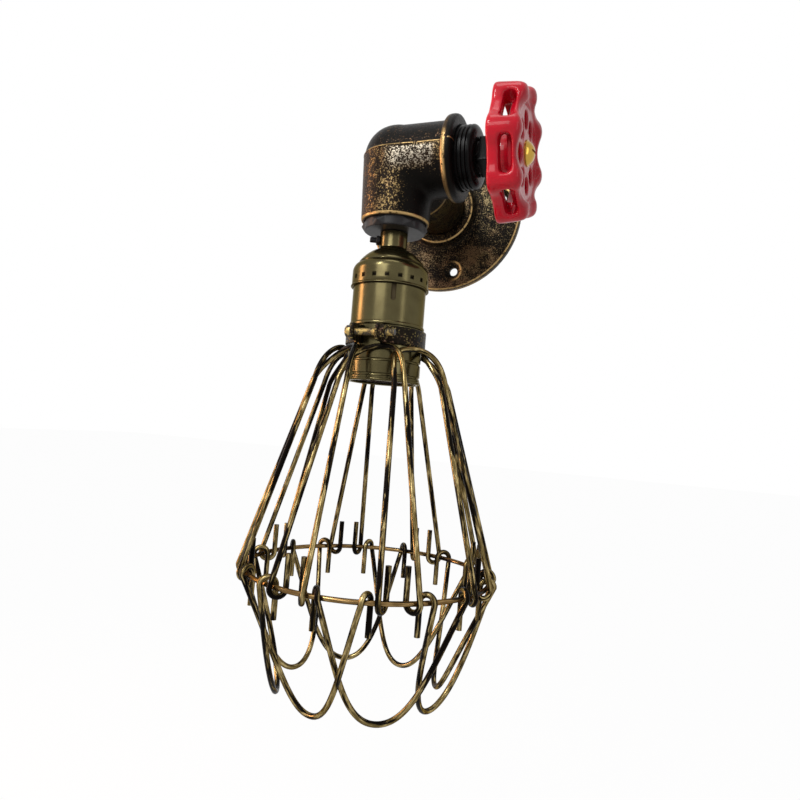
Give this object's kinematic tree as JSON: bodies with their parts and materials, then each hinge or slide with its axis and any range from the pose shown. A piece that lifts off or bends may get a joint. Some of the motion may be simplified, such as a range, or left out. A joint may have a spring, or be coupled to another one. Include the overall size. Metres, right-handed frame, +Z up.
{
  "type": "cage wall light",
  "caption": "Pipe-fitting wall sconce: round wall flange, side-outlet elbow with a turning valve handwheel, lampholder and a bell-shaped wire cage with hinged petals.",
  "frame": {"origin": "centre of the wall flange's back face, on the wall, at the centre of the circle of wall screws", "axes": "+Z up, -Y out of the wall towards the room, +X towards the handwheel"},
  "size_m": [0.1446, 0.1578, 0.3399],
  "materials": {
    "cast_fitting": "black cast iron with rubbed bronze speckle, satin",
    "dark_steel": "blackened steel, satin",
    "bright_steel": "zinc-plated steel",
    "antique_brass": "antique brass, satin with a soft sheen",
    "liner": "insulating sleeve",
    "phenolic": "moulded phenolic",
    "polished_brass": "polished brass",
    "lead_red": "wire insulation",
    "lead_white": "wire insulation",
    "cage_wire": "steel wire with antique gold wash and black patches",
    "ring_wire": "steel wire with a coppery gold wash",
    "black_plastic": "semi-matt black",
    "red_enamel": "glossy red paint"
  },
  "bodies": {
    "fitting": {"wall_flange": "cast_fitting", "pipe_nipple": "cast_fitting", "side_outlet_elbow": "cast_fitting", "hex_bushing": "dark_steel", "lamp_tube": "bright_steel", "socket_cap": "antique_brass", "neck_set_screw": "dark_steel", "socket_shell": "antique_brass", "shell_liner": "liner", "lamp_insert": "phenolic", "screw_shell": "polished_brass", "centre_contact": "polished_brass", "terminal_screws": "polished_brass", "lead_live": "lead_red", "lead_neutral": "lead_white", "clamp_band": "antique_brass", "clamp_screw": "dark_steel", "clamp_nut": "antique_brass", "cage_ring": "ring_wire", "hairpin_1": "cage_wire", "hairpin_2": "cage_wire", "hairpin_3": "cage_wire", "hairpin_4": "cage_wire", "hairpin_5": "cage_wire", "hairpin_6": "cage_wire", "hairpin_7": "cage_wire", "hairpin_8": "cage_wire", "side_plug": "black_plastic", "valve_bonnet": "black_plastic"},
    "valve_wheel": {"spindle": "bright_steel", "handwheel": "red_enamel", "wheel_washer": "polished_brass", "dome_screw": "polished_brass"},
    "petal_1_wire": {"petal_1": "cage_wire"},
    "petal_2_wire": {"petal_2": "cage_wire"},
    "petal_3_wire": {"petal_3": "cage_wire"},
    "petal_4_wire": {"petal_4": "cage_wire"},
    "petal_5_wire": {"petal_5": "cage_wire"},
    "petal_6_wire": {"petal_6": "cage_wire"},
    "petal_7_wire": {"petal_7": "cage_wire"},
    "petal_8_wire": {"petal_8": "cage_wire"}
  },
  "joints": [
    {"name": "handwheel_spin", "type": "hinge", "parent": "fitting", "child": "valve_wheel", "pos_m": [0.06, -0.088, 0], "axis": [1, 0, 0], "continuous": true},
    {"name": "petal_1_swing", "type": "hinge", "parent": "fitting", "child": "petal_1_wire", "pos_m": [0.03232, -0.13249, -0.224], "axis": [-0.809, -0.5878, 0], "range_deg": [-10, 14]},
    {"name": "petal_2_swing", "type": "hinge", "parent": "fitting", "child": "petal_2_wire", "pos_m": [0.05431, -0.0966, -0.224], "axis": [-0.1564, -0.9877, 0], "range_deg": [-10, 14]},
    {"name": "petal_3_swing", "type": "hinge", "parent": "fitting", "child": "petal_3_wire", "pos_m": [0.04449, -0.05568, -0.224], "axis": [0.5878, -0.809, 0], "range_deg": [-10, 14]},
    {"name": "petal_4_swing", "type": "hinge", "parent": "fitting", "child": "petal_4_wire", "pos_m": [0.0086, -0.03369, -0.224], "axis": [0.9877, -0.1564, 0], "range_deg": [-10, 14]},
    {"name": "petal_5_swing", "type": "hinge", "parent": "fitting", "child": "petal_5_wire", "pos_m": [-0.03232, -0.04351, -0.224], "axis": [0.809, 0.5878, 0], "range_deg": [-10, 14]},
    {"name": "petal_6_swing", "type": "hinge", "parent": "fitting", "child": "petal_6_wire", "pos_m": [-0.05431, -0.0794, -0.224], "axis": [0.1564, 0.9877, 0], "range_deg": [-10, 14]},
    {"name": "petal_7_swing", "type": "hinge", "parent": "fitting", "child": "petal_7_wire", "pos_m": [-0.04449, -0.12032, -0.224], "axis": [-0.5878, 0.809, 0], "range_deg": [-10, 14]},
    {"name": "petal_8_swing", "type": "hinge", "parent": "fitting", "child": "petal_8_wire", "pos_m": [-0.0086, -0.14231, -0.224], "axis": [-0.9877, 0.1564, 0], "range_deg": [-10, 14]}
  ],
  "couplings": [
    {"joint": "petal_2_swing", "follows": "petal_1_swing", "ratio": 1},
    {"joint": "petal_3_swing", "follows": "petal_1_swing", "ratio": 1},
    {"joint": "petal_4_swing", "follows": "petal_1_swing", "ratio": 1},
    {"joint": "petal_5_swing", "follows": "petal_1_swing", "ratio": 1},
    {"joint": "petal_6_swing", "follows": "petal_1_swing", "ratio": 1},
    {"joint": "petal_7_swing", "follows": "petal_1_swing", "ratio": 1},
    {"joint": "petal_8_swing", "follows": "petal_1_swing", "ratio": 1}
  ]
}
